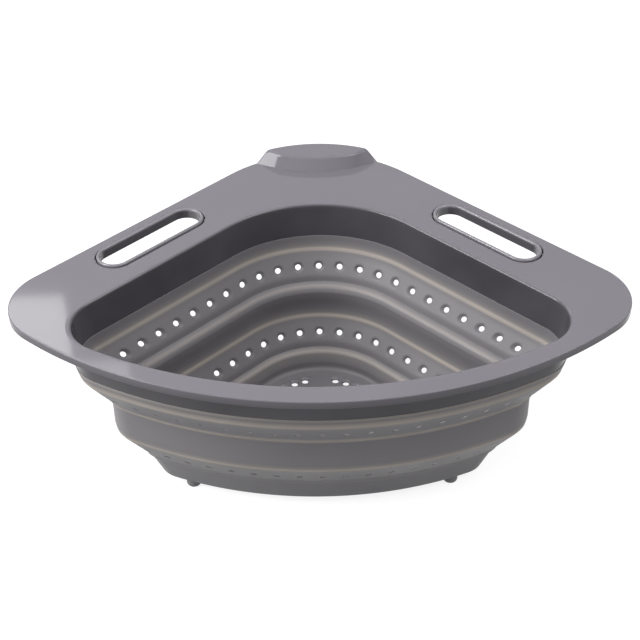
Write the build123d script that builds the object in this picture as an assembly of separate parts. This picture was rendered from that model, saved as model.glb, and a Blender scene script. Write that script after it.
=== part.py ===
from build123d import *
import os
from math import cos, hypot, pi, radians, sin, sqrt
from typing import NamedTuple

# Collapsible corner-sink colander.  Millimetres, +Z up, +Y towards the sink corner, and the
# origin under the middle of the flange at the level that the feet stand on.

# ---- driving dimensions ---------------------------------------------------------------------

# Flange, seen from above: two straight sides at a right angle, and a bowed front
flange_depth = 254.8            # back corner to the middle of the front
flange_back_radius = 78.7
flange_corner_radius = 37.1
flange_front_radius = 250.5
flange_top = 118.0              # height above the worktop
flange_plate = 2.4
flange_edge_round = 1.7
lip_depth = 4.4                 # down-turned edge round the flange
lip_wall = 2.2
lip_heel_round = 0.8

# Mouth of the bowl
side_land = 44.4                # width of the flange along its straight sides
front_land = 14.2
mouth_back_radius = 77.5
mouth_corner_radius = 26.1
mouth_front_radius = 247.1
mouth_round = 1.0
corner_tightening = 0.38        # corner radius lost for each millimetre that the bowl narrows

# Bowl wall, from the flange down: how far each fold has come in from the mouth, and its height
skirt_wall = 2.4
skirt_bottom = 92.0
lap_height = 4.1                # the cuff's tongue inside the skirt
upper_fold_inset, upper_fold_z = 1.5, 86.5
wall_top_inset, wall_top_z = 13.8, 66.0
wall_foot_inset, wall_foot_z = 14.2, 42.8
lower_fold_inset, lower_fold_z = 26.6, 22.5
heel_inset, heel_z = 31.9, 5.3
shoulder_round = 8.0            # where a wall turns into the band below it
crease_round = 2.5              # where a band turns into the wall below it
heel_round = 3.5
arc_steps = 2                   # flats that each of these rounds is drawn in
bowl_wall = 2.0
band_wall = 1.6
fold_wall = 1.0
fold_height = 3.0

# Drain holes
drain_diameter = 3.4
drain_pitch = 14.5              # along each band's upper fold
floor_centre_from_front = 69.0  # heel of the front to the middle of the rings
floor_ring_radii = (36.0, 26.5, 17.0)
floor_ring_counts = (6, 4, 2)   # holes of each ring in one quarter
floor_rib_half_width = 10.0     # undrilled cross between the quarters

# Floor plate and feet
plate_thickness = 2.5
plate_clearance = 0.1           # round the edge of the floor plate
seat_thickness = 2.0
seat_width = 7.6
cove_round = 4.0                # hollow round between the base wall and the floor plate
cove_lip = 0.3                  # where the cove ends on the plate
foot_diameter = 9.0
foot_round = 2.0
foot_from_edge = 3.7            # heel to the middle of a foot
front_foot_from_corner = 4.1    # inwards from the centre of the heel's round corner

# Raised stop on the back corner
stop_height = 8.0
stop_foot_depth, stop_top_depth = 22.8, 18.0            # back edge to the middle of the front
stop_foot_half, stop_top_half = 28.2, 24.7              # half length of the bowed front
stop_foot_shoulder, stop_top_shoulder = 15.5, 14.0      # back edge to the ends of the front
stop_foot_end, stop_top_end = 41.8, 32.6                # half length at the back edge
stop_draft = 0.4

# Hand slots
slot_length = 75.0
slot_width = 18.4
slot_from_edge = 18.5           # straight side to the middle of the slot
slot_from_corner = 75.2         # along the side, from the centre of the flange's round corner
slot_ring_wall = 2.6
slot_ring_proud = 1.2
slot_ring_depth = 5.5
slot_ring_round = 1.1

os.makedirs("parts", exist_ok=True)


# ---- plan outlines --------------------------------------------------------------------------

class Plan(NamedTuple):
    """Two straight sides meeting at (0, apex), a bowed front at y = front, and round corners."""
    apex: float
    front: float
    front_radius: float
    back_radius: float
    corner_radius: float

    def inset(self, distance, tightening=1.0):
        return Plan(
            self.apex - distance * sqrt(2),
            self.front + distance,
            self.front_radius - distance,
            self.back_radius - distance,
            self.corner_radius - distance * tightening,
        )

    @property
    def back(self):
        return self.apex - self.back_radius * (sqrt(2) - 1)

    def front_y(self, x):
        return self.front + self.front_radius - sqrt(self.front_radius ** 2 - x ** 2)

    @property
    def corner(self):
        """Centre of the round corner on the right."""
        reach = self.front_radius - self.corner_radius
        drop = self.apex - self.corner_radius * sqrt(2) - self.front - self.front_radius
        x = (drop + sqrt(2 * reach ** 2 - drop ** 2)) / 2
        return x, drop + self.front + self.front_radius - x

    def edges(self, z):
        """Back arc, side, corner, front, corner, side, in clockwise order."""
        front_centre = self.front + self.front_radius
        corner_x, corner_y = self.corner
        lean = self.corner_radius / sqrt(2)
        away = self.corner_radius / hypot(corner_x, corner_y - front_centre)
        side_start = (self.back_radius / sqrt(2), self.apex - self.back_radius / sqrt(2))
        side_end = (corner_x + lean, corner_y + lean)
        front_end = (corner_x * (1 + away), corner_y + (corner_y - front_centre) * away)
        bulge_x, bulge_y = side_end[0] + front_end[0], side_end[1] + front_end[1]
        span = hypot(bulge_x / 2 - corner_x, bulge_y / 2 - corner_y) / self.corner_radius
        corner_middle = (
            corner_x + (bulge_x / 2 - corner_x) / span,
            corner_y + (bulge_y / 2 - corner_y) / span,
        )

        def at(point, side=1):
            return (side * point[0], point[1], z)

        return [
            ThreePointArc(at(side_start, -1), (0, self.back, z), at(side_start)),
            Line(at(side_start), at(side_end)),
            ThreePointArc(at(side_end), at(corner_middle), at(front_end)),
            ThreePointArc(at(front_end), (0, self.front, z), at(front_end, -1)),
            ThreePointArc(at(front_end, -1), at(corner_middle, -1), at(side_end, -1)),
            Line(at(side_end, -1), at(side_start, -1)),
        ]

    def face(self, z):
        return Face(Wire(self.edges(z)))


flange_apex = flange_depth / 2 + flange_back_radius * (sqrt(2) - 1)
flange_plan = Plan(
    flange_apex, -flange_depth / 2, flange_front_radius, flange_back_radius, flange_corner_radius
)
mouth_plan = Plan(
    flange_apex - side_land * sqrt(2),
    -flange_depth / 2 + front_land,
    mouth_front_radius,
    mouth_back_radius,
    mouth_corner_radius,
)


def bowl_plan(inset):
    return mouth_plan.inset(inset, corner_tightening)


def prism(plan, low, high):
    return extrude(plan.face(low), high - low, dir=(0, 0, 1))


# ---- bowl wall ------------------------------------------------------------------------------

bowl_line = FilletPolyline(
    (-skirt_wall / 2, flange_top),
    (upper_fold_inset, upper_fold_z),
    (wall_top_inset, wall_top_z),
    (wall_foot_inset, wall_foot_z),
    (lower_fold_inset, lower_fold_z),
    (heel_inset, heel_z),
    radius=(shoulder_round, crease_round, shoulder_round, crease_round),
)


def wall_line(offset):
    """Points (inset, height) down the bowl wall, moved by offset towards the inside."""
    points = []
    for edge in bowl_line.edges():
        steps = 1 if edge.geom_type == GeomType.LINE else arc_steps
        for step in range(steps + 1):
            place, along = edge.position_at(step / steps), edge.tangent_at(step / steps)
            turn = -1 if along.Y < 0 else 1
            points.append((place.X + turn * along.Y * offset, place.Y - turn * along.X * offset))
    return sorted(points, key=lambda point: point[1])


def inset_at(line, z):
    """Inset of a wall line at height z."""
    for (low_inset, low_z), (high_inset, high_z) in zip(line, line[1:]):
        if low_z <= z <= high_z and high_z > low_z:
            return low_inset + (high_inset - low_inset) * (z - low_z) / (high_z - low_z)
    return line[0][0] if z < line[0][1] else line[-1][0]


def hull(offset, low, high):
    """Solid that the bowl wall's surface at this offset encloses from low to high."""
    line = wall_line(offset)
    least_step = 0.3
    heights = [z for _, z in line if low + least_step < z < high - least_step]
    levels = [low]
    for z in heights + [high]:
        if z - levels[-1] > least_step:
            levels.append(z)
    return loft([bowl_plan(inset_at(line, z)).face(z) for z in levels], ruled=True)


def wall_ring(low, high, wall):
    return hull(-wall / 2, low, high) - hull(wall / 2, low, high)


def drain_cutter(place, outward, wall):
    """Straight hole through a wall of this thickness."""
    return Plane(origin=place, z_dir=outward).location * Cylinder(drain_diameter / 2, 3 * wall)


def fold_band(top_inset, top, foot_inset, foot, low, high):
    """Perforated band that rolls over when the bowl is collapsed."""
    upper_edges = bowl_plan(top_inset).edges(top)
    lower_edges = bowl_plan(foot_inset).edges(foot)
    lengths = [edge.length for edge in upper_edges]
    count = 2 * round(sum(lengths) / drain_pitch / 2)
    cutters = []
    for number in range(count):
        travel = (lengths[0] / 2 + number * sum(lengths) / count) % sum(lengths)
        side = 0
        while travel > lengths[side]:
            travel -= lengths[side]
            side += 1
        share = travel / lengths[side]
        above, below = upper_edges[side].position_at(share), lower_edges[side].position_at(share)
        outward = upper_edges[side].tangent_at(share).cross(below - above).normalized()
        cutters.append(drain_cutter((above + below) / 2, outward, band_wall))
    return wall_ring(low, high, band_wall) - cutters


# ---- rim ------------------------------------------------------------------------------------

def slot_frame(side):
    """Plane on top of the flange in the middle of a hand slot, with X along the slot."""
    corner_x, corner_y = flange_plan.corner
    along = (corner_x + flange_apex - corner_y) / 2 - slot_from_corner / sqrt(2)
    across = slot_from_edge / sqrt(2)
    middle = (side * (along - across), flange_apex - along - across, flange_top)
    return Plane(origin=middle, x_dir=(side, -1, 0), z_dir=(0, 0, 1))


def slot_prism(side, margin, low, high):
    """Round-ended block round a hand slot, between two heights measured from the flange top."""
    outline = slot_frame(side).offset(low) * SlotOverall(slot_length + 2 * margin, slot_width + 2 * margin)
    return extrude(outline, high - low, dir=(0, 0, 1))


def stop_section(depth, half, shoulder, end, z, draft, wall=0.0):
    """Outline of the raised stop at one height, drawn in by wall for the hollow under it."""
    back_plan = flange_plan.inset(draft + wall)
    back_centre = back_plan.apex - back_plan.back_radius * sqrt(2)
    end_x, half_x = end - 2 * wall, half - wall
    end_y = back_centre + sqrt(back_plan.back_radius ** 2 - end_x ** 2)
    shoulder_y = flange_plan.back - shoulder + wall
    front_y = flange_plan.back - depth + wall
    return Face(Wire([
        ThreePointArc((-end_x, end_y, z), (0, back_plan.back, z), (end_x, end_y, z)),
        Line((end_x, end_y, z), (half_x, shoulder_y, z)),
        ThreePointArc((half_x, shoulder_y, z), (0, front_y, z), (-half_x, shoulder_y, z)),
        Line((-half_x, shoulder_y, z), (-end_x, end_y, z)),
    ]))


stop_foot_sizes = (stop_foot_depth, stop_foot_half, stop_foot_shoulder, stop_foot_end)
stop_top_sizes = (stop_top_depth, stop_top_half, stop_top_shoulder, stop_top_end)


def stop_block(wall, low, high):
    """The stop's body above the flange, or with a wall the hollow inside it."""
    foot_face = stop_section(*stop_foot_sizes, low, 0.0, wall)
    top_face = stop_section(*stop_top_sizes, high, stop_draft, wall)
    return loft([foot_face, top_face], ruled=True)


def rim_frame():
    """Hard flange with a down-turned lip, hand slots, the raised stop and the skirt."""
    plate_bottom = flange_top - flange_plate
    blank = prism(flange_plan, flange_top - lip_depth, flange_top)
    rims = blank.edges().group_by(Axis.Z)
    blank = fillet(rims[-1], flange_edge_round)
    blank = fillet(blank.edges().group_by(Axis.Z)[0], lip_heel_round)
    blank -= prism(flange_plan.inset(lip_wall), flange_top - lip_depth, plate_bottom)
    blank += hull(-skirt_wall / 2, skirt_bottom, plate_bottom + 1.0)
    blank -= hull(skirt_wall / 2, skirt_bottom, flange_top)
    blank -= hull(0.0, skirt_bottom, skirt_bottom + lap_height)
    blank = fillet(blank.faces().sort_by(Axis.Z)[-1].inner_wires()[0].edges(), mouth_round)
    stop_top = flange_top + stop_height
    blank += stop_block(0.0, flange_top, stop_top)
    blank += extrude(stop_section(*stop_foot_sizes, flange_top, 0.0), flange_edge_round, dir=(0, 0, -1))
    blank -= stop_block(flange_plate, plate_bottom, stop_top - flange_plate)
    for side in (-1, 1):
        blank -= slot_prism(side, slot_ring_wall, -lip_depth, 1.0)
    return blank


def slot_ring(side):
    """Round-edged grip ring that lines a hand slot."""
    ring = slot_prism(side, slot_ring_wall, -slot_ring_depth, slot_ring_proud)
    ring -= slot_prism(side, 0.0, -slot_ring_depth, slot_ring_proud)
    return fillet(ring.edges().group_by(Axis.Z)[-1], slot_ring_round)


def upper_cuff():
    """Soft collar under the skirt, with a tongue bonded inside it."""
    collar = wall_ring(upper_fold_z + fold_height / 2, skirt_bottom, bowl_wall)
    top = skirt_bottom + lap_height
    return collar + (hull(0.0, skirt_bottom, top) - hull(skirt_wall / 2, skirt_bottom, top))


# ---- base -----------------------------------------------------------------------------------

half_fold = fold_height / 2
base_top = lower_fold_z - half_fold
plate_low = heel_z + seat_thickness
plate_high = plate_low + plate_thickness


def base_blank():
    """Outer form of the base, with its round heel."""
    blank = hull(-bowl_wall / 2, heel_z, base_top)
    return fillet(blank.edges().group_by(Axis.Z)[0], heel_round)


def base_cuff():
    """Soft lower wall that holds the edge of the floor plate, over and under, and carries the feet."""
    room = hull(bowl_wall / 2, plate_high + cove_lip, base_top)
    room = fillet(room.edges().group_by(Axis.Z)[0], cove_round)
    shell = base_blank() - room
    shell -= hull(bowl_wall / 2, plate_low, plate_high)
    shell -= prism(bowl_plan(heel_inset + cove_round), plate_high, plate_high + 2 * cove_lip)
    return shell - prism(bowl_plan(heel_inset + seat_width), heel_z, plate_low)


def floor_plate():
    """Hard floor with drain holes in rings, parted into quarters by an undrilled cross."""
    plate = hull(bowl_wall / 2 + plate_clearance, plate_low, plate_high)
    middle_y = bowl_plan(heel_inset).front + floor_centre_from_front
    middle_z = (plate_low + plate_high) / 2
    drains = []
    for radius, count in zip(floor_ring_radii, floor_ring_counts):
        first = (floor_rib_half_width / radius) * 180 / pi
        step = (90 - 2 * first) / (count - 1)
        for quarter in range(4):
            for number in range(count):
                angle = radians(90 * quarter + first + number * step)
                place = Vector(radius * cos(angle), middle_y + radius * sin(angle), middle_z)
                drains.append(drain_cutter(place, Vector(0, 0, -1), plate_thickness))
    return plate - drains


def foot(x, y):
    """Round-ended nub, cut to the heel that it is bonded to."""
    height = heel_z + heel_round
    nub = Pos(x, y, height / 2) * Cylinder(foot_diameter / 2, height)
    return fillet(nub.edges().group_by(Axis.Z)[0], foot_round) - base_blank()


# ---- sub-parts ------------------------------------------------------------------------------

foot_plan = bowl_plan(heel_inset + foot_from_edge)
front_foot_x = bowl_plan(heel_inset).corner[0] - front_foot_from_corner
front_foot_y = foot_plan.front_y(front_foot_x)

sub_parts = {
    "rim_frame": rim_frame(),
    "slot_ring_left": slot_ring(-1),
    "slot_ring_right": slot_ring(1),
    "upper_cuff": upper_cuff(),
    "upper_fold_band": fold_band(
        upper_fold_inset, upper_fold_z, wall_top_inset, wall_top_z,
        wall_top_z + half_fold, upper_fold_z - half_fold,
    ),
    "middle_wall": wall_ring(wall_foot_z + half_fold, wall_top_z - half_fold, bowl_wall),
    "lower_fold_band": fold_band(
        wall_foot_inset, wall_foot_z, lower_fold_inset, lower_fold_z,
        lower_fold_z + half_fold, wall_foot_z - half_fold,
    ),
    "base_cuff": base_cuff(),
    "floor_plate": floor_plate(),
    "foot_left": foot(-front_foot_x, front_foot_y),
    "foot_right": foot(front_foot_x, front_foot_y),
    "foot_back": foot(0, foot_plan.back),
}
for number, z in enumerate((upper_fold_z, wall_top_z, wall_foot_z, lower_fold_z), start=1):
    sub_parts[f"fold_ring_{number}"] = wall_ring(z - half_fold, z + half_fold, fold_wall)

for name, shape in sub_parts.items():
    export_step(shape, f"parts/{name}.step")
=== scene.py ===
from math import atan2, cos, hypot, pi, radians, sin, sqrt

import bmesh
import bpy
import numpy as np
from mathutils import Matrix, Vector
from mathutils.geometry import delaunay_2d_cdt


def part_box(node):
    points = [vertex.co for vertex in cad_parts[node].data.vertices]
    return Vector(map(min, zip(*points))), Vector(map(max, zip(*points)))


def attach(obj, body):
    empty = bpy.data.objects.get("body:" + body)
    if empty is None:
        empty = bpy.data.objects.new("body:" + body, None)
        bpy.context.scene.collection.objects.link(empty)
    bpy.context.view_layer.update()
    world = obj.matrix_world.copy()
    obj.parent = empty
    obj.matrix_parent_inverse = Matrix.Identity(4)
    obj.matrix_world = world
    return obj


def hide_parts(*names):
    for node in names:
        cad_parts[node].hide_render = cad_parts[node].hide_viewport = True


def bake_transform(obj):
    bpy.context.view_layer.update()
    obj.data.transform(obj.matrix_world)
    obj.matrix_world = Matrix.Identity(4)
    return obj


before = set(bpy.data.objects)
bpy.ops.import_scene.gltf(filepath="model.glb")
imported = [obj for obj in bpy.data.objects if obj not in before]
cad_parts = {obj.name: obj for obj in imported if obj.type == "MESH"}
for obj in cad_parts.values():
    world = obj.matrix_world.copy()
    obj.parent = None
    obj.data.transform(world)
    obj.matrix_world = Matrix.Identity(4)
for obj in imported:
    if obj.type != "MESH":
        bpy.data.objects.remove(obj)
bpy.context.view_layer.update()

# ---- sizes, in millimetres, as the part has them ---------------------------------------------

MM = 0.001
DIAGONAL = sqrt(0.5)
SUPPORT = 0.8                    # flat border that keeps a plane's shading off its rounded edge

HALF_DEPTH = 127.4
FLANGE_TOP, FLANGE_PLATE, EDGE_ROUND = 118.0, 2.4, 0.6
FLANGE_BACK_RADIUS, SIDE_LAND = 78.7, 44.4
PLATE_BOTTOM = FLANGE_TOP - FLANGE_PLATE
LIP_DEPTH, LIP_WALL, LIP_HEEL = 4.8, 2.2, 0.25
LIP_PAINTED_SHADE = 0.75                  # share of the painted shade on the lip's face

MOUTH_FRONT, MOUTH_ROUND = -113.2, 1.8
SKIRT_TOP_INSET = -1.2           # mid-wall at the flange's top
SKIRT_TAPER, SKIRT_TAPER_HEIGHT = 2.7, 31.5
SKIRT_HALF_WALL = 1.2
SKIRT_BOTTOM, LAP_TOP = 92.0, 96.1

SLOT_LENGTH, SLOT_WIDTH, SLOT_FROM_EDGE, SLOT_FROM_CORNER = 75.0, 18.4, 18.5, 164.0
RING_WALL, RING_PROUD, RING_DEPTH = 2.6, 1.2, 5.5
BEAD_HALF = RING_WALL / 2 - 0.25
RING_PAINTED_SHADE = 0.8                  # share of the painted shade on the slot's inner wall

DRAIN_PITCH = 14.5
BAND_HALF_WALL = 0.8
FLOOR_TOP, FLOOR_THICK, FLOOR_INSET = 9.8, 2.5, 32.6
FLOOR_CENTRE = MOUTH_FRONT + 31.9 + 69.0          # Y of the middle of the drain holes
FLOOR_RINGS = ((36.0, 6), (26.5, 4), (17.0, 2))   # radius, and holes in each quarter
FLOOR_RIB = 10.0                 # half width of the undrilled cross

STOP_HEIGHT = 8.0
# Front's depth, its half length, its ends' depth and the half length at the back.
STOP_FOOT = (22.8, 27.7, 16.7, 40.5)
STOP_TOP = (18.0, 24.7, 14.0, 33.0)


# ---- outlines --------------------------------------------------------------------------------

class Plan:
    """Two straight sides at a right angle meeting at (0, apex), a bowed front and round corners.

    Its edges, clockwise: 0 the back arc, 1 a side, 2 a corner, 3 the front, 4 a corner, 5 a side.
    The corner radius shrinks by tightening for each millimetre of inset.
    """

    def __init__(self, apex, front, front_radius, back_radius, corner_radius, tightening):
        self.apex, self.front, self.front_radius = apex, front, front_radius
        self.back_radius, self.corner_radius = back_radius, corner_radius
        self.tightening = tightening
        self.back = apex - back_radius * (sqrt(2) - 1)
        self.back_centre = apex - back_radius * sqrt(2)

    def at(self, inset):
        """Apex, front, front radius, back radius and corner radius, as arrays for these insets."""
        inset = np.asarray(inset, float)
        return (self.apex - inset * sqrt(2), self.front + inset, self.front_radius - inset,
                self.back_radius - inset, self.corner_radius - inset * self.tightening)

    def place(self, edge, share, inset):
        """XY of points given by outline edge, share along that edge, and inset."""
        apex, front, front_radius, back_radius, corner_radius = self.at(inset)
        edge, share = np.broadcast_arrays(np.asarray(edge), np.asarray(share, float))
        centre = front + front_radius
        reach = front_radius - corner_radius
        drop = apex - corner_radius * sqrt(2) - centre
        corner_x = (drop + np.sqrt(2 * reach ** 2 - drop ** 2)) / 2
        corner_y = drop + centre - corner_x
        turn = np.arctan2(corner_y - centre, corner_x)
        right = np.where(edge > 3, -1.0, 1.0)
        along = np.where(edge > 3, 1 - share, share)
        start_x, start_y = back_radius * DIAGONAL, apex - back_radius * DIAGONAL
        end_x, end_y = corner_x + corner_radius * DIAGONAL, corner_y + corner_radius * DIAGONAL
        back_angle = radians(135) - radians(90) * share
        corner_angle = radians(45) + (turn - radians(45)) * along
        front_angle = turn + (-pi - 2 * turn) * share
        kinds = [edge == 0, (edge == 1) | (edge == 5), (edge == 2) | (edge == 4), edge == 3]
        x = np.select(kinds, [
            back_radius * np.cos(back_angle),
            right * (start_x + (end_x - start_x) * along),
            right * (corner_x + corner_radius * np.cos(corner_angle)),
            front_radius * np.cos(front_angle),
        ])
        y = np.select(kinds, [
            apex - back_radius * sqrt(2) + back_radius * np.sin(back_angle),
            start_y + (end_y - start_y) * along,
            corner_y + corner_radius * np.sin(corner_angle),
            centre + front_radius * np.sin(front_angle),
        ])
        return x, y

    def lengths(self, inset):
        """Length of each edge at an inset."""
        fine = np.linspace(0, 1, 65)
        found = []
        for edge in range(6):
            x, y = self.place(np.full(fine.shape, edge), fine, inset)
            found.append(float(np.sum(np.hypot(np.diff(x), np.diff(y)))))
        return np.array(found)

    def locate(self, travel, inset):
        """Edge and share of points this far round the outline at an inset, from the back centre."""
        lengths = self.lengths(inset)
        ends = np.cumsum(lengths)
        travel = (np.asarray(travel, float) + lengths[0] / 2) % ends[-1]
        edge = np.minimum(np.searchsorted(ends, travel, side="right"), 5)
        return edge, (travel - (ends - lengths)[edge]) / lengths[edge]


flange_plan = Plan(
    apex=HALF_DEPTH + FLANGE_BACK_RADIUS * (sqrt(2) - 1), front=-HALF_DEPTH, front_radius=250.5,
    back_radius=FLANGE_BACK_RADIUS, corner_radius=37.1, tightening=1.0)
bowl_plan = Plan(
    apex=flange_plan.apex - SIDE_LAND * sqrt(2), front=MOUTH_FRONT, front_radius=247.1,
    back_radius=77.5, corner_radius=26.1, tightening=0.38)


# ---- mesh helpers ----------------------------------------------------------------------------

def rounded(points, closed=True, step=radians(12)):
    """Rows (inset, z, tan) along a polyline whose corners (inset, z, radius, tan) are rounded."""
    rows = []
    count = len(points)
    for number, (inset, z, radius, tan) in enumerate(points):
        here = np.array((inset, z))
        ends = not closed and number in (0, count - 1)
        if radius <= 0 or ends:
            rows.append((inset, z, tan))
            continue
        before = np.array(points[number - 1][:2]) - here
        after = np.array(points[(number + 1) % count][:2]) - here
        before_length, after_length = np.linalg.norm(before), np.linalg.norm(after)
        before, after = before / before_length, after / after_length
        half = np.arccos(np.clip(before @ after, -1, 1)) / 2
        room = [0.49 if points[(number + way) % count][2] > 0 else 0.98 for way in (-1, 1)]
        reach = min(radius / np.tan(half), room[0] * before_length, room[1] * after_length)
        true_radius = reach * np.tan(half)
        bisector = (before + after) / np.linalg.norm(before + after)
        middle = here + bisector * true_radius / np.sin(half)
        first, last = here + before * reach - middle, here + after * reach - middle
        start = atan2(first[1], first[0])
        sweep = (atan2(last[1], last[0]) - start + pi) % (2 * pi) - pi
        steps = max(2, int(np.ceil(abs(sweep) / step)))
        for turn in range(steps + 1):
            angle = start + sweep * turn / steps
            row = (middle[0] + true_radius * cos(angle), middle[1] + true_radius * sin(angle), tan)
            rows.append(row)
    return rows


def divided(rows, longest):
    """The same closed rows with long straight runs divided."""
    found = []
    for first, second in zip(rows, rows[1:] + rows[:1]):
        length = hypot(second[0] - first[0], second[1] - first[1])
        if length < 1e-6:
            continue
        steps = max(1, int(np.ceil(length / longest)))
        for step in range(steps):
            share = step / steps
            found.append(tuple(a + (b - a) * share for a, b in zip(first, second)))
    return found


class Shape:
    """Vertices in millimetres with a share of the material's tint each, and faces."""

    def __init__(self):
        self.points, self.tans, self.faces = [], [], []

    def add(self, x, y, z, tan=0.0):
        """Adds points, and returns their numbers in the shape that x has."""
        x, y, z, tan = np.broadcast_arrays(*(np.asarray(value, float) for value in (x, y, z, tan)))
        first = len(self.points)
        self.points.extend(zip(x.ravel().tolist(), y.ravel().tolist(), z.ravel().tolist()))
        self.tans.extend(tan.ravel().tolist())
        return first + np.arange(x.size).reshape(x.shape)

    def grid(self, numbers, wrap_rows=False):
        """Quads between neighbouring rows of point numbers, each of which closes on itself."""
        if wrap_rows:
            numbers = np.vstack([numbers, numbers[:1]])
        numbers = np.hstack([numbers, numbers[:, :1]])
        a, b = numbers[:-1, :-1], numbers[:-1, 1:]
        c, d = numbers[1:, 1:], numbers[1:, :-1]
        self.faces.extend(np.stack([a, b, c, d], axis=-1).reshape(-1, 4).tolist())

    def fill(self, loops, curves=()):
        """Triangles over the area between closed loops, through the curves drawn in it."""
        numbers, edges = [], []
        lines = [(loop, True) for loop in loops] + [(curve, False) for curve in curves]
        for line, is_closed in lines:
            line = [int(number) for number in line]
            following = line[1:] + line[:1] if is_closed else line[1:]
            edges.extend(zip(line, following))
            numbers.extend(line)
        numbers = list(dict.fromkeys(numbers))
        order = {number: place for place, number in enumerate(numbers)}
        flat = [Vector(self.points[number][:2]) for number in numbers]
        edges = [(order[a], order[b]) for a, b in edges]
        out, _, faces, origins, _, _ = delaunay_2d_cdt(flat, edges, [], 0, 1e-5)
        back = []
        for place, origin in zip(out, origins):
            back.append(numbers[origin[0]] if origin else int(self.add(place.x, place.y, 0.0)))
        patches = [[self.points[back[v]][:2] for v in face] for face in faces]
        centres = np.array([np.mean(patch, axis=0) for patch in patches])
        inside = np.zeros(len(faces), bool)
        for loop in loops:
            corners = np.array([self.points[int(number)][:2] for number in loop])
            following = np.roll(corners, -1, axis=0)
            for (x0, y0), (x1, y1) in zip(corners, following):
                if y0 != y1:
                    crosses = (centres[:, 1] < y0) != (centres[:, 1] < y1)
                    at_x = x0 + (centres[:, 1] - y0) / (y1 - y0) * (x1 - x0)
                    inside ^= crosses & (centres[:, 0] < at_x)
        self.faces.extend([[back[v] for v in face] for face, keep in zip(faces, inside) if keep])


def make(name, shape, material, body=None, stands_for=(), sharp=38, blend=None):
    """Object of a shape, which rides on a body and stands for CAD nodes."""
    mesh = bpy.data.meshes.new(name)
    mesh.from_pydata([(x * MM, y * MM, z * MM) for x, y, z in shape.points], [], shape.faces)
    # Each vertex's share of the tint: painted shade on the rim and slot rings, the folds' tone and
    # painted highlight on the bowl.
    tint = mesh.attributes.new("fold_tone_and_painted_light", "FLOAT", "POINT")
    tint.data.foreach_set("value", np.array(shape.tans, np.float32))
    work = bmesh.new()
    work.from_mesh(mesh)
    bmesh.ops.remove_doubles(work, verts=work.verts, dist=2e-6)
    loose = [vert for vert in work.verts if not vert.link_faces]
    bmesh.ops.delete(work, geom=loose, context="VERTS")
    bmesh.ops.recalc_face_normals(work, faces=work.faces)
    for face in work.faces:
        face.smooth = True
    work.to_mesh(mesh)
    work.free()
    mesh.set_sharp_from_angle(angle=radians(sharp))
    mesh.materials.append(material)
    piece = bpy.data.objects.new(name, mesh)
    bpy.context.scene.collection.objects.link(piece)
    weighted = piece.modifiers.new("Weighted Normal", "WEIGHTED_NORMAL")
    weighted.keep_sharp = True
    if blend:
        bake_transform(piece)
    else:
        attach(piece, body)
    if stands_for:
        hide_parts(*stands_for)
    return piece


def swept(plan, rows, edge, share):
    """Closed section of (inset, z, tan) rows carried round an outline."""
    shape = Shape()
    inset, z, tan = (np.array(column)[:, None] for column in zip(*rows))
    x, y = plan.place(np.broadcast_to(edge, (len(rows), len(edge))), share[None, :], inset)
    numbers = shape.add(x, y, np.broadcast_to(z, x.shape), np.broadcast_to(tan, x.shape))
    shape.grid(numbers, wrap_rows=True)
    return shape


# ---- materials -------------------------------------------------------------------------------

def srgb(red, green, blue):
    """Linear colour from one given as it looks on screen."""
    values = [value / 255 for value in (red, green, blue)]
    linear = [v / 12.92 if v <= 0.04045 else ((v + 0.055) / 1.055) ** 2.4 for v in values]
    return (*linear, 1.0)


def noise(nodes, links, scale, detail=3.0):
    """Noise in the object's own metres, so that scale is waves for each metre."""
    place = nodes.new("ShaderNodeTexCoord")
    texture = nodes.new("ShaderNodeTexNoise")
    texture.inputs["Scale"].default_value = scale
    texture.inputs["Detail"].default_value = detail
    links.new(place.outputs["Object"], texture.inputs["Vector"])
    return texture.outputs["Fac"]


def spread(nodes, links, value, low, high):
    """A texture value carried to another range."""
    node = nodes.new("ShaderNodeMapRange")
    node.inputs["From Min"].default_value = 0.3
    node.inputs["From Max"].default_value = 0.7
    node.inputs["To Min"].default_value = low
    node.inputs["To Max"].default_value = high
    links.new(value, node.inputs["Value"])
    return node.outputs["Result"]


MOTTLE, STREAK, GLOSS = 14.0, 22.0, 30.0   # noise scales: mottling, the tint's streaks, gloss
TINT_ROUGHNESS = 0.15


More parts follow.
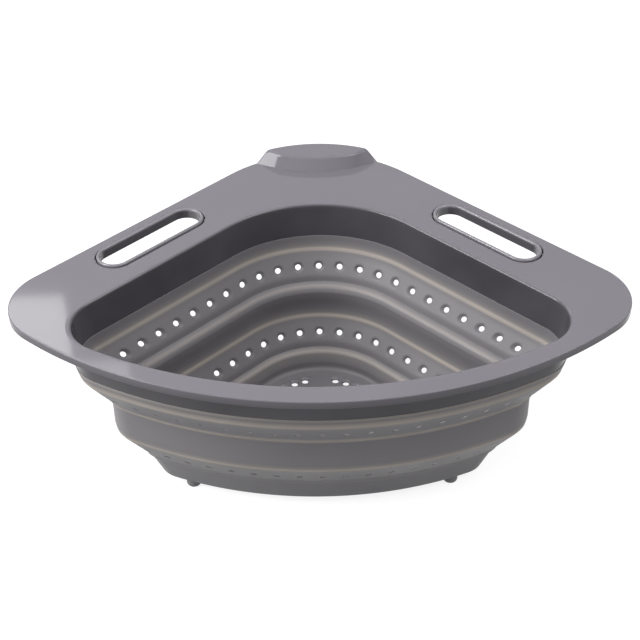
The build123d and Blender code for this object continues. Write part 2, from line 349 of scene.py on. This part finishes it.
def moulded(name, dark, light, roughness, grain, grain_depth, specular=0.5, tint=None):
    """Moulded plastic or silicone: faint mottling, uneven gloss and a fine skin texture.

    A tint lies where the mesh says, slightly streaked, and makes the surface duller there; on the
    rim and rings it is painted shade, on the bowl the folds' tone with painted highlight.
    """
    material = bpy.data.materials.new(name)
    material.use_nodes = True
    nodes, links = material.node_tree.nodes, material.node_tree.links
    shader = nodes["Principled BSDF"]
    mix = nodes.new("ShaderNodeMix")
    mix.data_type = "RGBA"
    mix.inputs["A"].default_value = dark
    mix.inputs["B"].default_value = light
    cloud = noise(nodes, links, MOTTLE)
    links.new(spread(nodes, links, cloud, 0.0, 1.0), mix.inputs["Factor"])
    colour = mix.outputs["Result"]
    if tint:
        # Share of the tint from the mesh: painted shade, or the folds' tone with painted highlight.
        amount = nodes.new("ShaderNodeAttribute")
        amount.attribute_name = "fold_tone_and_painted_light"
        streak = spread(nodes, links, noise(nodes, links, STREAK, 2.0), 0.82, 1.0)
        product = nodes.new("ShaderNodeMath")
        product.operation = "MULTIPLY"
        links.new(amount.outputs["Fac"], product.inputs[0])
        links.new(streak, product.inputs[1])
        over = nodes.new("ShaderNodeMix")
        over.data_type = "RGBA"
        links.new(product.outputs["Value"], over.inputs["Factor"])
        links.new(colour, over.inputs["A"])
        over.inputs["B"].default_value = tint
        colour = over.outputs["Result"]
    links.new(colour, shader.inputs["Base Color"])
    patches = noise(nodes, links, GLOSS, 4.0)
    gloss = spread(nodes, links, patches, roughness * 0.88, roughness * 1.12)
    if tint:
        duller = nodes.new("ShaderNodeMath")
        duller.operation = "MULTIPLY_ADD"
        duller.inputs[1].default_value = TINT_ROUGHNESS
        links.new(amount.outputs["Fac"], duller.inputs[0])
        links.new(gloss, duller.inputs[2])
        gloss = duller.outputs["Value"]
    links.new(gloss, shader.inputs["Roughness"])
    shader.inputs["Specular IOR Level"].default_value = specular
    bump = nodes.new("ShaderNodeBump")
    bump.inputs["Strength"].default_value = 0.2
    bump.inputs["Distance"].default_value = grain_depth
    links.new(noise(nodes, links, grain, 2.0), bump.inputs["Height"])
    links.new(bump.outputs["Normal"], shader.inputs["Normal"])
    return material


SHADE = srgb(65, 63, 68)         # painted shade: dark colour standing in for shade and dark reflections on skirt, lip, slot walls
TAN = srgb(180, 171, 162)        # thin silicone's warmer tone along the folds, lightened too as painted highlight on their crests
# The rim and slot rings carry SHADE as painted shade wherever the mesh marks it.
rim_material = moulded(
    "rim_plastic", srgb(109, 106, 113), srgb(112, 109, 116), 0.05, 260.0, 0.00001, 0.3, SHADE)
ring_material = moulded(
    "slot_ring_plastic", srgb(116, 114, 120), srgb(120, 118, 124), 0.08, 260.0, 0.00001, 0.5, SHADE)
bowl_material = moulded(
    "bowl_silicone", srgb(112, 110, 113), srgb(118, 116, 119), 0.45, 420.0, 0.00006, 0.3, TAN)
band_material = moulded(
    "band_silicone", srgb(115, 113, 116), srgb(121, 119, 122), 0.45, 420.0, 0.00006, 0.3, TAN)
floor_material = moulded(
    "floor_plastic", srgb(110, 108, 112), srgb(116, 114, 118), 0.3, 300.0, 0.00005)
foot_material = moulded(
    "foot_rubber", srgb(106, 104, 108), srgb(112, 110, 114), 0.5, 500.0, 0.00008)


# ---- bowl ------------------------------------------------------------------------------------

AROUND = 480
SPACING_INSET = 8                # inset at which the columns of the rings are evenly spaced
ring_edge, ring_share = bowl_plan.locate(
    np.arange(AROUND) / AROUND * bowl_plan.lengths(SPACING_INSET).sum(), SPACING_INSET)


def skirt_inset(z, offset):
    """Inset of the tapered skirt's face, offset from the middle of its wall."""
    return SKIRT_TOP_INSET + (FLANGE_TOP - z) * SKIRT_TAPER / SKIRT_TAPER_HEIGHT + offset


# Sections of the rings: corners (inset, z, radius, tan), down the inside and up the outside.
CUFF_TOP = 93.4
CUFF = [
    (skirt_inset(LAP_TOP, 0.02), LAP_TOP - 0.05, 0.0, 0.0),
    (skirt_inset(LAP_TOP, 1.15), LAP_TOP - 0.05, 0.25, 0.0),
    (2.05, 92.5, 12.0, 0.0),
    (2.45, 89.8, 8.0, 0.1),
    (2.75, 88.2, 0.0, 0.35),
    (0.4, 88.2, 0.0, 0.7),
    (-0.1, 90.6, 0.0, 0.05),
    # Painted highlight: the tan share along the cuff's top edge stands in for light caught there.
    (-0.6, CUFF_TOP, 0.3, 0.5),
    (skirt_inset(SKIRT_BOTTOM, -1.15), CUFF_TOP, 0.0, 0.5),
    (skirt_inset(SKIRT_BOTTOM, -1.15), SKIRT_BOTTOM - 0.05, 0.0, 0.0),
    (skirt_inset(SKIRT_BOTTOM, 0.02), SKIRT_BOTTOM - 0.05, 0.0, 0.0),
]
FOLD_1 = [
    (2.75, 88.2, 0.0, 0.35),
    (2.95, 87.2, 1.5, 0.85),
    (3.3, 86.0, 1.5, 0.6),
    (3.75, 85.0, 0.0, 0.1),
    (1.47, 85.0, 0.0, 0.4),
    (0.7, 86.5, 1.6, 1.0),
    (0.4, 88.2, 0.0, 0.6),
]
FOLD_2 = [
    (12.08, 67.5, 0.0, 0.0),
    (13.6, 66.7, 1.5, 0.1),
    (15.1, 65.9, 1.2, 0.35),
    (16.25, 64.5, 0.0, 0.1),
    (12.85, 64.5, 0.0, 0.0),
    (12.4, 65.8, 0.5, 0.4),
    (11.6, 67.0, 0.3, 1.0),
    (11.27, 67.5, 0.0, 1.0),
]
WALL = [
    (16.25, 64.5, 0.0, 0.1),
    (17.35, 62.2, 3.2, 0.0),
    (16.9, 58.0, 12.0, 0.0),
    (15.35, 50.5, 20.0, 0.0),
    (15.4, 46.2, 8.0, 0.1),
    (15.75, 44.5, 0.0, 0.45),
    (13.2, 44.5, 0.0, 0.3),
    (12.95, 47.0, 6.0, 0.05),
    (12.85, 64.5, 0.0, 0.0),
]
FOLD_3 = [
    (15.75, 44.5, 0.0, 0.45),
    (15.9, 43.5, 1.5, 1.0),
    (16.15, 42.4, 1.5, 0.7),
    (16.5, 41.3, 0.0, 0.1),
    (14.18, 41.3, 0.0, 0.15),
    (13.42, 42.9, 1.6, 1.0),
    (13.2, 44.5, 0.0, 0.3),
]
FOLD_4 = [
    (24.86, 24.0, 0.0, 0.0),
    (26.3, 23.2, 1.5, 0.2),
    (27.7, 22.3, 1.0, 0.5),
    (28.65, 21.0, 0.0, 0.2),
    (25.95, 21.0, 0.0, 0.0),
    (25.3, 22.5, 0.5, 0.1),
    (24.4, 23.5, 0.3, 0.2),
    (24.04, 24.0, 0.0, 0.2),
]
BASE = [
    (28.65, 21.0, 0.0, 0.2),
    (30.3, 15.2, 2.0, 0.0),
    (30.7, FLOOR_TOP + 0.1, 6.5, 0.0),
    (38.3, FLOOR_TOP + 0.1, 0.0, 0.0),
    (38.3, FLOOR_TOP, 0.0, 0.0),
    (32.5, FLOOR_TOP, 0.0, 0.0),
    (32.5, 7.3, 0.0, 0.0),
    (34.5, 7.3, 0.3, 0.0),
    (34.5, 5.3, 0.4, 0.0),
    (30.85, 5.3, 3.5, 0.0),
    (25.95, 21.0, 0.0, 0.0),
]


def ring_piece(name, section, body, stands_for):
    """Section carried round the bowl."""
    rows = divided(rounded(section), longest=2.5)
    shape = swept(bowl_plan, rows, ring_edge, ring_share)
    make(name, shape, bowl_material, body, [stands_for])


ring_piece("cuff", CUFF, "rim", "upper_cuff")
ring_piece("fold_line_1", FOLD_1, "rim", "fold_ring_1")
ring_piece("fold_line_2", FOLD_2, "middle", "fold_ring_2")
ring_piece("wall", WALL, "middle", "middle_wall")
ring_piece("fold_line_3", FOLD_3, "middle", "fold_ring_3")
ring_piece("fold_line_4", FOLD_4, "base", "fold_ring_4")
ring_piece("base", BASE, "base", "base_cuff")


# Rings of a drain hole and its dimple: radius, and depth below the inner face.
DIMPLE = [(4.3, 0.0), (3.7, 0.03), (3.4, 0.14), (3.0, 0.4), (2.6, 0.75), (2.2, 1.1), (1.92, 1.3),
          (1.85, 1.42), (1.88, 1.55), (1.95, 1.6), (3.4, 1.6)]
CELL_HALF = 5.0                  # half height of the strip of cells that the holes are in
# Ends of a band's two faces: rows (distance from the end, sink below the face, tan).
HIGH_END = {"in": [(3.0, 0.0, 0.0), (1.5, -0.08, 0.03), (0.0, -0.35, 0.1)],
            "out": [(3.0, 0.0, 0.0), (1.5, 0.0, 0.1), (0.0, 0.0, 0.4)]}


def low_end(crest):
    """The same for a band's lower end, which turns inwards; crest is its tan outside."""
    return {"in": [(5.0, 0.05, 0.0), (4.2, 0.2, 0.0), (3.4, 0.42, 0.0), (2.6, 0.72, 0.0),
                   (1.8, 1.08, 0.0), (0.9, 1.4, 0.0), (0.0, 1.5, 0.0)],
            "out": [(3.0, 0.0, 0.0), (1.5, 0.25, 0.4 * crest), (0.0, 0.6, crest)]}


def perforated(name, top, foot, low, high, bodies, stands_for, crest):
    """Band with a row of dimpled drain holes, baked in place and riding on no body.

    Mid-wall runs from top to foot, (inset, z) at its folds, and the band from height low to high.
    crest is the tan of its lower edge outside. bodies is not used.
    """
    slope = np.array(foot) - np.array(top)
    span = np.linalg.norm(slope)
    slope = slope / span
    lean = np.array((-slope[1], slope[0]))
    total = bowl_plan.lengths(top[0]).sum()
    count = 2 * round(total / DRAIN_PITCH / 2)
    pitch = total / count

    def place(travel, down, height):
        """XYZ from travel round the upper fold, distance below the holes, height off mid-wall."""
        profile = [top[i] + slope[i] * (span / 2 + down) + lean[i] * height for i in (0, 1)]
        edge, share = bowl_plan.locate(travel, top[0])
        x, y = bowl_plan.place(edge, share, profile[0])
        return x, y, profile[1]

    shape = Shape()
    across = np.linspace(-0.5, 0.5, 9)
    up = np.linspace(-1, 1, 7)
    square = ([(u, 1.0) for u in across[:0:-1]] + [(-0.5, v) for v in up[:0:-1]]
              + [(u, -1.0) for u in across[:-1]] + [(0.5, v) for v in up[:-1]])
    square = np.array(square)
    centres = np.arange(count) * pitch
    ahead, behind = place(centres + 0.5, 0.0, 0.0), place(centres - 0.5, 0.0, 0.0)
    scale = np.hypot(ahead[0] - behind[0], ahead[1] - behind[1])
    bound_x, bound_y = square[:, 0] * pitch, square[:, 1] * CELL_HALF
    angle = np.arctan2(bound_y, bound_x)

    def ring(radius, depth, share=1.0):
        """Point numbers (holes, around) of a ring: share 0 is the cell's border, 1 the circle."""
        circle_x = radius * np.cos(angle)[None, :] / scale[:, None]
        circle_y = np.broadcast_to((radius * np.sin(angle))[None, :], circle_x.shape)
        travel = centres[:, None] + (1 - share) * bound_x[None, :] + share * circle_x
        down = (1 - share) * bound_y[None, :] + share * circle_y
        height = np.broadcast_to(BAND_HALF_WALL - depth, travel.shape)
        return shape.add(*place(travel, down, height))

    levels = [ring(4.2, 0.0, share) for share in (0.0, 0.5)]
    levels += [ring(radius, depth) for radius, depth in DIMPLE]
    levels += [ring(3.4, 2 * BAND_HALF_WALL, share) for share in (0.5, 0.0)]
    for first, second in zip(levels, levels[1:]):
        for one, other in zip(first, second):
            shape.grid(np.vstack([one, other]))
    columns = np.arange(count * 8) / 8 * pitch - pitch / 2
    for edge_down, level_z, end in ((-CELL_HALF, high, HIGH_END), (CELL_HALF, low, low_end(crest))):
        last = []
        for side, height in (("in", BAND_HALF_WALL), ("out", -BAND_HALF_WALL)):
            limit = (level_z - top[1] - lean[1] * height) / slope[1] - span / 2
            rows = []
            for from_end, sink, tan in [(abs(limit - edge_down), 0.0, 0.0)] + end[side]:
                down = np.full(columns.shape, limit - from_end * np.sign(edge_down))
                x, y, z = place(columns, down, np.full(columns.shape, height - sink))
                rows.append(shape.add(x, y, z, tan))
            shape.grid(np.vstack(rows))
            last.append(rows[-1])
        shape.grid(np.vstack(last))
    make(name, shape, band_material, None, [stands_for],
         blend=(*bodies, (0, 0, low * MM), (0, 0, high * MM)))


perforated("band_1", (1.5, 86.5), (13.8, 66.0), 67.5, 85.0,
           ("middle", "rim"), "upper_fold_band", 1.0)
perforated("band_2", (14.2, 42.8), (26.6, 22.5), 24.0, 41.3,
           ("base", "middle"), "lower_fold_band", 0.2)


# ---- floor -----------------------------------------------------------------------------------

def floor_piece():
    """Floor plate with its quarters of drain holes, each with a dimple on the top."""
    shape = Shape()
    x, y = bowl_plan.place(ring_edge, ring_share, np.full(AROUND, FLOOR_INSET))
    outline = [shape.add(x, y, z) for z in (FLOOR_TOP - FLOOR_THICK, FLOOR_TOP)]
    shape.grid(np.vstack(outline))
    turn = np.linspace(0, 2 * pi, 28, endpoint=False)
    tops, bottoms = [], []
    profile = [(3.3, 0.0), (3.0, 0.1), (2.6, 0.4), (2.25, 0.8), (2.0, 1.2), (2.0, 1.5), (2.9, 2.5)]
    for ring_radius, holes in FLOOR_RINGS:
        first = FLOOR_RIB / ring_radius
        for quarter in range(4):
            for number in range(holes):
                angle = quarter * pi / 2 + first + number * (pi / 2 - 2 * first) / (holes - 1)
                x, y = ring_radius * cos(angle), FLOOR_CENTRE + ring_radius * sin(angle)
                rings = []
                for radius, depth in profile:
                    around_x, around_y = x + radius * np.cos(turn), y + radius * np.sin(turn)
                    rings.append(shape.add(around_x, around_y, FLOOR_TOP - depth))
                shape.grid(np.vstack(rings))
                tops.append(rings[0])
                bottoms.append(rings[-1])
    shape.fill([outline[1]] + tops)
    shape.fill([outline[0]] + bottoms)
    make("floor_plate_drilled", shape, floor_material, "base", ["floor_plate"])


floor_piece()


def foot_piece(node):
    """Foot turned from its profile, with a rounded heel, up into the base's wall."""
    shape = Shape()
    low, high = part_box(node)
    middle = (low + high) / 2 / MM
    profile = rounded([(4.5, 7.2, 0, 0), (4.5, 0.0, 2.2, 0), (0.6, 0.0, 0, 0)], closed=False)
    turn = np.linspace(0, 2 * pi, 40, endpoint=False)
    rings = [shape.add(middle.x + radius * np.cos(turn), middle.y + radius * np.sin(turn), z)
             for radius, z, _ in profile]
    shape.grid(np.vstack(rings))
    for ring in (rings[0], rings[-1]):
        shape.faces.append([int(number) for number in ring])
    make(node + "_pad", shape, foot_material, "base", [node])


for node in ("foot_left", "foot_right", "foot_back"):
    foot_piece(node)


# ---- rim -------------------------------------------------------------------------------------

# Levels up the stop's side: share of its height, how far in its rounded top is, and height.
STOP_PROFILE = [(0.0, 0.0, 0.0), (0.85, 0.0, 6.8), (0.95, 0.12, 7.55), (1.0, 0.6, 7.9),
                (1.0, 1.5, STOP_HEIGHT)]
# Rows of the groove round a slot's bead: distance from the opening, and z from the flange's top.
SLOT_GROOVE = [(RING_WALL + 0.9 + SUPPORT, 0.0), (RING_WALL + 0.9, 0.0), (RING_WALL + 0.5, -0.15),
               (RING_WALL + 0.25, -0.5), (RING_WALL + 0.1, -1.2), (RING_WALL + 0.1, -FLANGE_PLATE)]
QUARTER_TURN = np.linspace(0, pi / 2, 7)


def stadium(side, margin, count=24):
    """XY round a hand slot, moved outwards from its opening by margin."""
    along, across = SLOT_FROM_CORNER * DIAGONAL, SLOT_FROM_EDGE * DIAGONAL
    middle = np.array((side * (along - across), flange_plan.apex - along - across))
    run = np.array((side * DIAGONAL, -DIAGONAL))
    cross = np.array((-run[1], run[0]))
    half, radius = (SLOT_LENGTH - SLOT_WIDTH) / 2, SLOT_WIDTH / 2 + margin
    points = []
    for end in (1, -1):
        for turn in np.linspace(-pi / 2, pi / 2, count):
            offset = run * (end * (half + radius * cos(turn))) + cross * (end * radius * sin(turn))
            points.append(middle + offset)
    return np.array(points).T


def stop_level(share, wall=0.0, extra=0.0):
    """Outline of the stop at a share of its height, moved in by a wall and its rounded top's extra.

    Gives X and Y where it meets the flange's back edge, X and Y where its bowed front ends, and the
    bow's centre in Y and its radius.
    """
    depth, half, shoulder, end = (a + (b - a) * share for a, b in zip(STOP_FOOT, STOP_TOP))
    end_x, half_x = end - 2 * wall - extra, half - wall - extra
    end_y = flange_plan.back_centre + sqrt((flange_plan.back_radius - wall) ** 2 - end_x ** 2)
    shoulder_y = flange_plan.back - shoulder + wall + extra * 0.6
    front_y = flange_plan.back - depth + wall + extra
    rise = shoulder_y - front_y
    radius = (half_x ** 2 + rise ** 2) / (2 * rise)
    return end_x, end_y, half_x, shoulder_y, front_y + radius, radius


def stop_curve(share, extra):
    """Front outline of the stop at one level, from side to side of the flange's rounded edge."""
    end_x, end_y, half_x, shoulder_y, centre, radius = stop_level(share, extra=extra)
    edge_radius = flange_plan.back_radius - (EDGE_ROUND + SUPPORT)
    run = np.array((end_x - half_x, end_y - shoulder_y))
    start = np.array((half_x, shoulder_y - flange_plan.back_centre))
    a, b, c = run @ run, start @ run, start @ start - edge_radius ** 2
    reach = (-b + sqrt(b * b - a * c)) / a
    hit = (half_x + run[0] * reach, shoulder_y + run[1] * reach)
    swing = np.arcsin(half_x / radius)
    front = [(radius * sin(t), centre - radius * cos(t)) for t in np.linspace(swing, -swing, 25)]
    ends = [(half_x + (hit[0] - half_x) * along, shoulder_y + (hit[1] - shoulder_y) * along)
            for along in (1, 0.66, 0.33)]
    return ends + front + [(-x, y) for x, y in ends[::-1]]


def arc_points(plan, spacing=1.4):
    """Edges and shares of points round an outline: arcs divided, straight sides left whole."""
    edges, shares = [], []
    for edge, length in enumerate(plan.lengths(0)):
        count = 1 if edge in (1, 5) else round(length / spacing)
        edges.extend([edge] * count)
        shares.extend(np.arange(count) / count)
    return np.array(edges), np.array(shares)


def flange_columns(reach):
    """Edges and shares of the columns round the flange, with one wherever a stop level ends."""
    edge, share = arc_points(flange_plan)
    radius = flange_plan.back_radius - EDGE_ROUND - SUPPORT
    ends = [(radians(135) - np.arccos(x / radius)) / radians(90)
            for half in reach for x in (half, -half)]
    keep = np.ones(len(edge), bool)
    for place in ends:
        keep &= ~((edge == 0) & (np.abs(share - place) < 0.006))
    edge = np.concatenate([edge[keep], np.zeros(len(ends), int)])
    share = np.concatenate([share[keep], ends])
    order = np.lexsort((share, edge))
    return edge[order], share[order]


def flange_edge(shape, reach):
    """Rows of the flange's rounded edge, which climbs over the stop, and of the lip under it."""
    edge, share = flange_columns(reach)
    top_x, _ = flange_plan.place(edge, share, np.full(len(edge), EDGE_ROUND + SUPPORT))
    rise = np.zeros(len(edge))
    heights = np.array([height for _, _, height in STOP_PROFILE])
    at_back = (edge == 0) | ((edge == 5) & (share > 0.9)) | ((edge == 1) & (share < 0.1))
    rise[at_back] = np.interp(-np.abs(top_x[at_back]), -reach, heights, left=0.0, right=heights[-1])
    bottom = -LIP_DEPTH
    # Painted shade: a share of SHADE grows over the edge round and down the lip's face, and is
    # whole under the lip.
    upper = [(EDGE_ROUND + SUPPORT, 0.0, 0.0)]
    upper += [(EDGE_ROUND * (1 - sin(t)), -EDGE_ROUND * (1 - cos(t)), LIP_PAINTED_SHADE * t / pi)
              for t in QUARTER_TURN]
    lower = [(LIP_HEEL * (1 - cos(t)), bottom + LIP_HEEL * (1 - sin(t)), LIP_PAINTED_SHADE + t / 2)
             for t in np.linspace(0, pi / 2, 5)]
    lower += [(LIP_WALL - 0.3, bottom, 1.0), (LIP_WALL, bottom + 0.3, 1.0),
              (LIP_WALL, -FLANGE_PLATE, 1.0)]
    rows = []
    for number, (inset, z, shade_share) in enumerate(upper + lower):
        x, y = flange_plan.place(edge, share, np.full(len(edge), inset))
        height = FLANGE_TOP + z + (rise if number < len(upper) else 0)
        rows.append(shape.add(x, y, height, min(shade_share, 1.0)))
    shape.grid(np.vstack(rows))
    return rows


def mouth_and_skirt(shape):
    """Rows from the mouth's rounded edge down the skirt's inside and up its outside, painted with
    shade below the round.
    """
    profile = [(-MOUTH_ROUND - SUPPORT, FLANGE_TOP)]
    profile += [(-MOUTH_ROUND * (1 - sin(t)), FLANGE_TOP - MOUTH_ROUND * (1 - cos(t)))
                for t in QUARTER_TURN]
    profile += [(skirt_inset(z, offset), z) for z, offset in (
        (FLANGE_TOP - MOUTH_ROUND - 2, SKIRT_HALF_WALL), (LAP_TOP + 0.5, SKIRT_HALF_WALL),
        (LAP_TOP, 0.9), (LAP_TOP, 0.0), (SKIRT_BOTTOM, 0.0), (SKIRT_BOTTOM, -0.8),
        (SKIRT_BOTTOM + 0.5, -SKIRT_HALF_WALL), (PLATE_BOTTOM - 1.0, -SKIRT_HALF_WALL))]
    profile += [(skirt_inset(PLATE_BOTTOM, -1.5), PLATE_BOTTOM - 0.3),
                (skirt_inset(PLATE_BOTTOM, -2.2), PLATE_BOTTOM)]
    edge, share = arc_points(bowl_plan)
    rows = []
    for inset, z in profile:
        x, y = bowl_plan.place(edge, share, np.full(len(edge), inset))
        # Painted shade: none on the flange's top, growing over the mouth's round, whole on the
        # skirt and under the plate.
        rows.append(shape.add(x, y, z, min(1.0, 2.5 * (FLANGE_TOP - z) / MOUTH_ROUND)))
    shape.grid(np.vstack(rows))
    return rows


def slot_grooves(shape):
    """First and last rows of the grooves round the two slots."""
    tops, bottoms = [], []
    for side in (-1, 1):
        rows = []
        for margin, z in SLOT_GROOVE:
            x, y = stadium(side, margin)
            rows.append(shape.add(x, y, FLANGE_TOP + z))
        shape.grid(np.vstack(rows))
        tops.append(rows[0])
        bottoms.append(rows[-1])
    return tops, bottoms


def stop_lines(shape, curves, edge_row):
    """Lines of the stop's levels, from one point of the flange's edge to another."""
    edge_xy = np.array([shape.points[int(number)][:2] for number in edge_row])
    lines = []
    for curve, (_, _, height) in zip(curves, STOP_PROFILE):
        middle = shape.add(*np.array(curve[1:-1]).T, FLANGE_TOP + height).tolist()
        first, last = (int(edge_row[np.argmin(np.hypot(*(edge_xy - point).T))])
                       for point in (curve[0], curve[-1]))
        lines.append([first] + middle + [last])
    return lines


def stop_hollow(shape):
    """Closed lines round the foot and the roof of the hollow under the stop."""
    lines = []
    for share, z in ((0.0, PLATE_BOTTOM), (1.0, PLATE_BOTTOM + STOP_HEIGHT)):
        end_x, _, half_x, _, centre, radius = stop_level(share, wall=FLANGE_PLATE)
        back_radius = flange_plan.back_radius - FLANGE_PLATE - 0.4 * share
        swing = np.arcsin(end_x / back_radius)
        loop = [(back_radius * sin(t), flange_plan.back_centre + back_radius * cos(t))
                for t in np.linspace(-swing, swing, 25)]
        swing = np.arcsin(half_x / radius)
        loop += [(radius * sin(t), centre - radius * cos(t))
                 for t in np.linspace(swing, -swing, 21)]
        numbers = shape.add(*np.array(loop).T, z).tolist()
        lines.append(numbers + numbers[:1])
    return lines


def rim_piece():
    """Flange with rounded edges, the raised stop, hand slots, a down-turned lip and the skirt."""
    shape = Shape()
    curves = [stop_curve(share, extra) for share, extra, _ in STOP_PROFILE]
    outer = flange_edge(shape, np.array([curve[0][0] for curve in curves]))
    inner = mouth_and_skirt(shape)
    slot_tops, slot_bottoms = slot_grooves(shape)
    shape.fill([outer[0], inner[0]] + slot_tops, stop_lines(shape, curves, outer[0]))
    shape.fill([outer[-1], inner[-1]] + slot_bottoms, stop_hollow(shape))
    make("rim", shape, rim_material, "rim", ["rim_frame"], sharp=30)


rim_piece()


def slot_ring(side, node):
    """Bead that lines a hand slot, with painted shade on its inner wall."""
    shape = Shape()
    crown = RING_PROUD - BEAD_HALF
    section = [(0.0, -RING_DEPTH + 0.3), (0.0, crown - 0.7), (0.0, crown)]
    section += [(BEAD_HALF - BEAD_HALF * cos(t), crown + BEAD_HALF * sin(t))
                for t in np.linspace(0, pi, 13)[1:]]
    section += [(2 * BEAD_HALF, -1.2), (RING_WALL, -2.0), (RING_WALL, -RING_DEPTH + 0.3),
                (RING_WALL - 0.3, -RING_DEPTH), (0.3, -RING_DEPTH)]
    rows = []
    for margin, z in section:
        x, y = stadium(side, margin)
        # Painted shade on every row below the bead's crown.
        rows.append(shape.add(x, y, FLANGE_TOP + z, RING_PAINTED_SHADE if z < crown else 0.0))
    shape.grid(np.vstack(rows), wrap_rows=True)
    make(node + "_bead", shape, ring_material, "rim", [node])


slot_ring(-1, "slot_ring_left")
slot_ring(1, "slot_ring_right")


# ---- studio ----------------------------------------------------------------------------------

STUDIO_HALF = 6.0                # metres
FLOOR_GREY, FLOOR_LIFT = 0.25, 0.85
WORLD_LIGHT = 0.5                # what lights the object; the camera and mirrors see 1.0


def seen(nodes, links):
    """1 for rays that the camera sees by, straight or mirrored, and 0 for those that light."""
    path = nodes.new("ShaderNodeLightPath")
    total = path.outputs["Is Camera Ray"]
    for output in ("Is Glossy Ray", "Is Transmission Ray"):
        add = nodes.new("ShaderNodeMath")
        add.operation = "ADD"
        add.use_clamp = True
        links.new(total, add.inputs[0])
        links.new(path.outputs[output], add.inputs[1])
        total = add.outputs["Value"]
    return total


def backdrop():
    """Pale floor that shows white to the camera and keeps the object's shadow."""
    mesh = bpy.data.meshes.new("studio_floor")
    half = STUDIO_HALF
    corners = [(-half, -half, 0), (half, -half, 0), (half, half, 0), (-half, half, 0)]
    mesh.from_pydata(corners, [], [(0, 1, 2, 3)])
    floor = bpy.data.objects.new("studio_floor", mesh)
    bpy.context.scene.collection.objects.link(floor)
    material = bpy.data.materials.new("studio_floor")
    material.use_nodes = True
    nodes, links = material.node_tree.nodes, material.node_tree.links
    shader = nodes["Principled BSDF"]
    shader.inputs["Base Color"].default_value = (FLOOR_GREY, FLOOR_GREY, FLOOR_GREY, 1)
    shader.inputs["Roughness"].default_value = 0.9
    shader.inputs["Specular IOR Level"].default_value = 0.1
    lift = nodes.new("ShaderNodeMath")
    lift.operation = "MULTIPLY"
    lift.inputs[1].default_value = FLOOR_LIFT
    links.new(seen(nodes, links), lift.inputs[0])
    shader.inputs["Emission Color"].default_value = (1, 1, 1, 1)
    links.new(lift.outputs["Value"], shader.inputs["Emission Strength"])
    mesh.materials.append(material)


def studio_world():
    """White surroundings, dimmer as a light than as a sight."""
    world = bpy.data.worlds.new("studio")
    bpy.context.scene.world = world
    world.use_nodes = True
    nodes, links = world.node_tree.nodes, world.node_tree.links
    background = nodes["Background"]
    background.inputs["Color"].default_value = (1, 1, 1, 1)
    level = nodes.new("ShaderNodeMapRange")
    level.inputs["To Min"].default_value = WORLD_LIGHT
    level.inputs["To Max"].default_value = 1.0
    links.new(seen(nodes, links), level.inputs["Value"])
    links.new(level.outputs["Result"], background.inputs["Strength"])


def lamp(name, place, target, size, power):
    """Rectangular lamp at a place, in metres, that faces a target."""
    light = bpy.data.lights.new(name, "AREA")
    light.shape = "RECTANGLE"
    light.size, light.size_y = size
    light.energy = power
    lamp_object = bpy.data.objects.new(name, light)
    lamp_object.location = place
    facing = (Vector(target) - Vector(place)).to_track_quat("-Z", "Y")
    lamp_object.rotation_euler = facing.to_euler()
    bpy.context.scene.collection.objects.link(lamp_object)


backdrop()
studio_world()
BOWL_MIDDLE = (0, -0.02, 0.08)
lamp("left_softbox", (-1.0, -0.3, 0.9), BOWL_MIDDLE, (0.8, 0.8), 20.5)
lamp("right_softbox", (0.7, -0.25, 1.15), BOWL_MIDDLE, (0.7, 0.7), 8.0)
# The flange mirrors these two panels behind the object, on its left corner and its front left.
lamp("corner_panel", (-0.73, 1.5, 1.312), (-0.73, 0.0, 1.312), (0.54, 0.155), 1.5)
lamp("front_panel", (-0.677, 1.5, 1.67), (-0.677, 0.0, 1.67), (0.645, 0.56), 3.4)

TARGET = Vector((-0.00040, -0.05517, 0.118))
DISTANCE, AZIMUTH, ELEVATION, ROLL = 0.850, radians(-0.44), radians(37.21), radians(-0.54)
direction = Vector((sin(AZIMUTH) * cos(ELEVATION), -cos(AZIMUTH) * cos(ELEVATION), sin(ELEVATION)))
camera_data = bpy.data.cameras.new("camera")
camera_data.sensor_width = 36.0
camera_data.lens = 84.3
camera = bpy.data.objects.new("camera", camera_data)
facing = (-direction).to_track_quat("-Z", "Y").to_matrix().to_4x4()
place = Matrix.Translation(TARGET + direction * DISTANCE)
camera.matrix_world = place @ facing @ Matrix.Rotation(ROLL, 4, "Z")
bpy.context.scene.collection.objects.link(camera)
bpy.context.scene.camera = camera
bpy.context.scene.view_settings.view_transform = "Standard"
